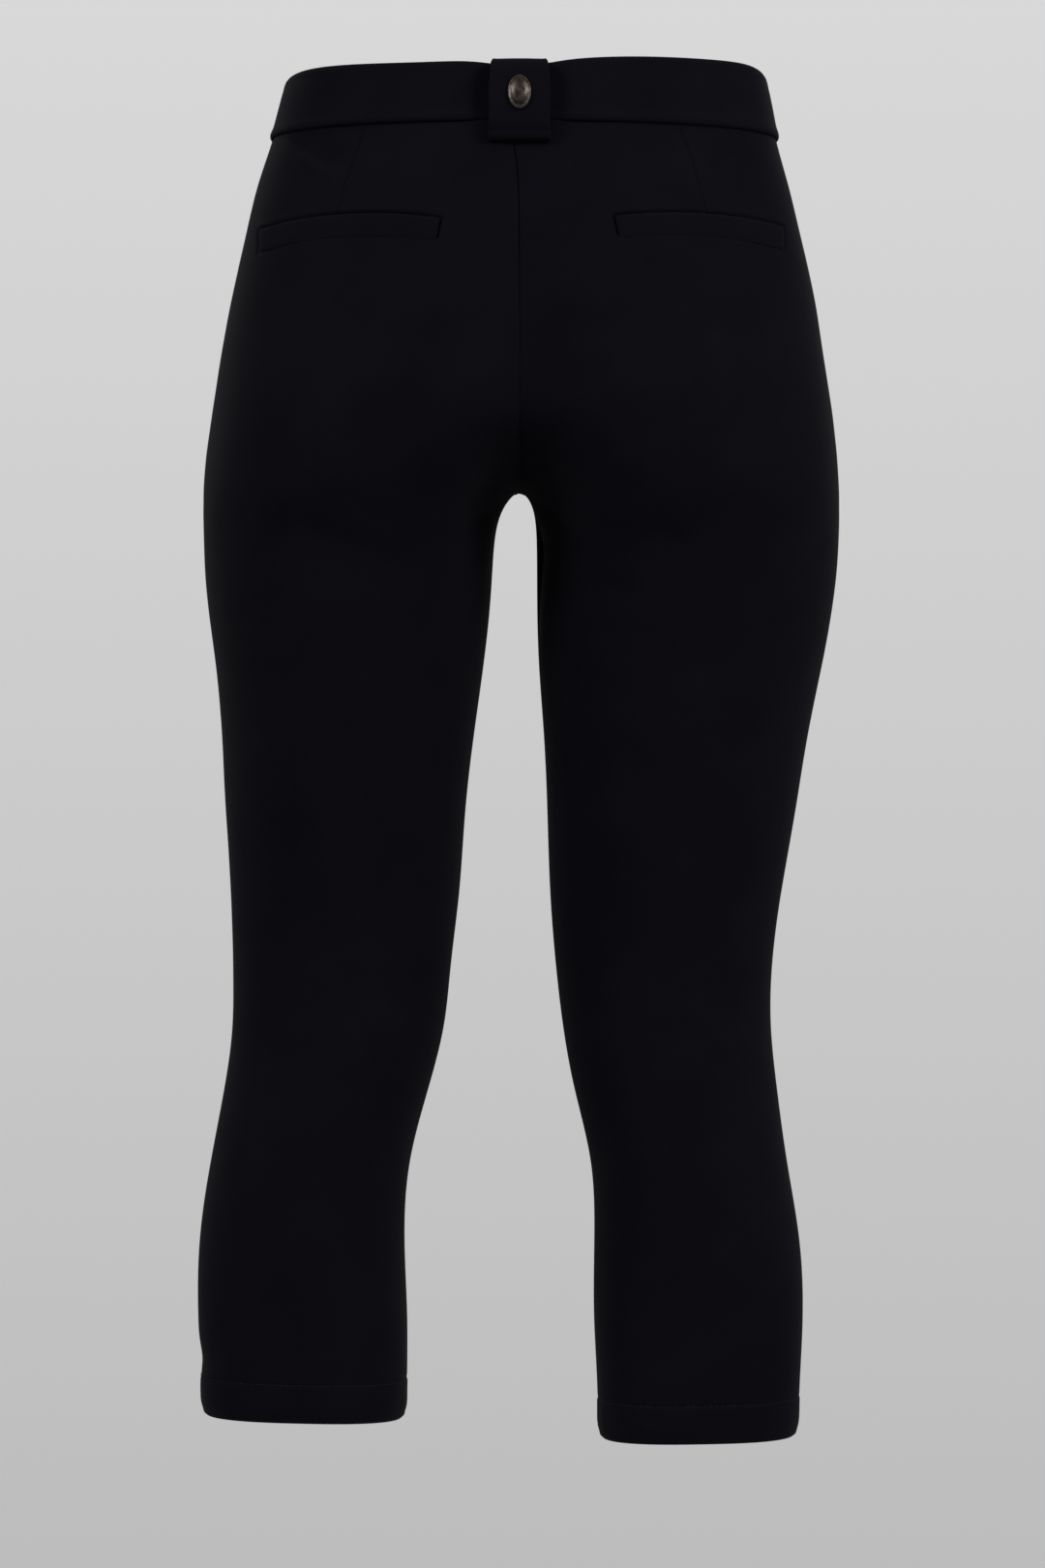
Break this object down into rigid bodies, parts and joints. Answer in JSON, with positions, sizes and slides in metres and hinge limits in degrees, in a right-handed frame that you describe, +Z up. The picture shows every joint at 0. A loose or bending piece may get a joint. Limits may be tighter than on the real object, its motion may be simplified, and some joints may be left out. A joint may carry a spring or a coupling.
{
  "type": "capri pants",
  "caption": "Slim calf-length capri pants worn and standing hollow, with a contoured waistband, a wide back belt loop, back darts and single-welt back pockets.",
  "frame": {"origin": "centre of the waist opening, half way up the waistband", "axes": "+X to the wearer's left, +Y to the wearer's back, +Z up; the legs hang towards -Z"},
  "size_m": [0.3629, 0.2334, 0.7726],
  "materials": {
    "back_left": "matte double-knit jersey",
    "back_right": "matte double-knit jersey",
    "front_left": "matte double-knit jersey",
    "front_right": "matte double-knit jersey",
    "waistband_left": "matte double-knit jersey",
    "waistband_right": "matte double-knit jersey",
    "welt_left": "matte double-knit jersey",
    "welt_right": "matte double-knit jersey",
    "belt_loop": "matte double-knit jersey",
    "loop_stud": "satin gunmetal",
    "fly_front": "matte double-knit jersey"
  },
  "bodies": {
    "root": {"back_left": "back_left", "back_right": "back_right", "front_left": "front_left", "front_right": "front_right", "waistband_left": "waistband_left", "waistband_right": "waistband_right", "welt_left": "welt_left", "welt_right": "welt_right", "belt_loop": "belt_loop", "loop_stud": "loop_stud", "fly_front": "fly_front"}
  },
  "joints": []
}
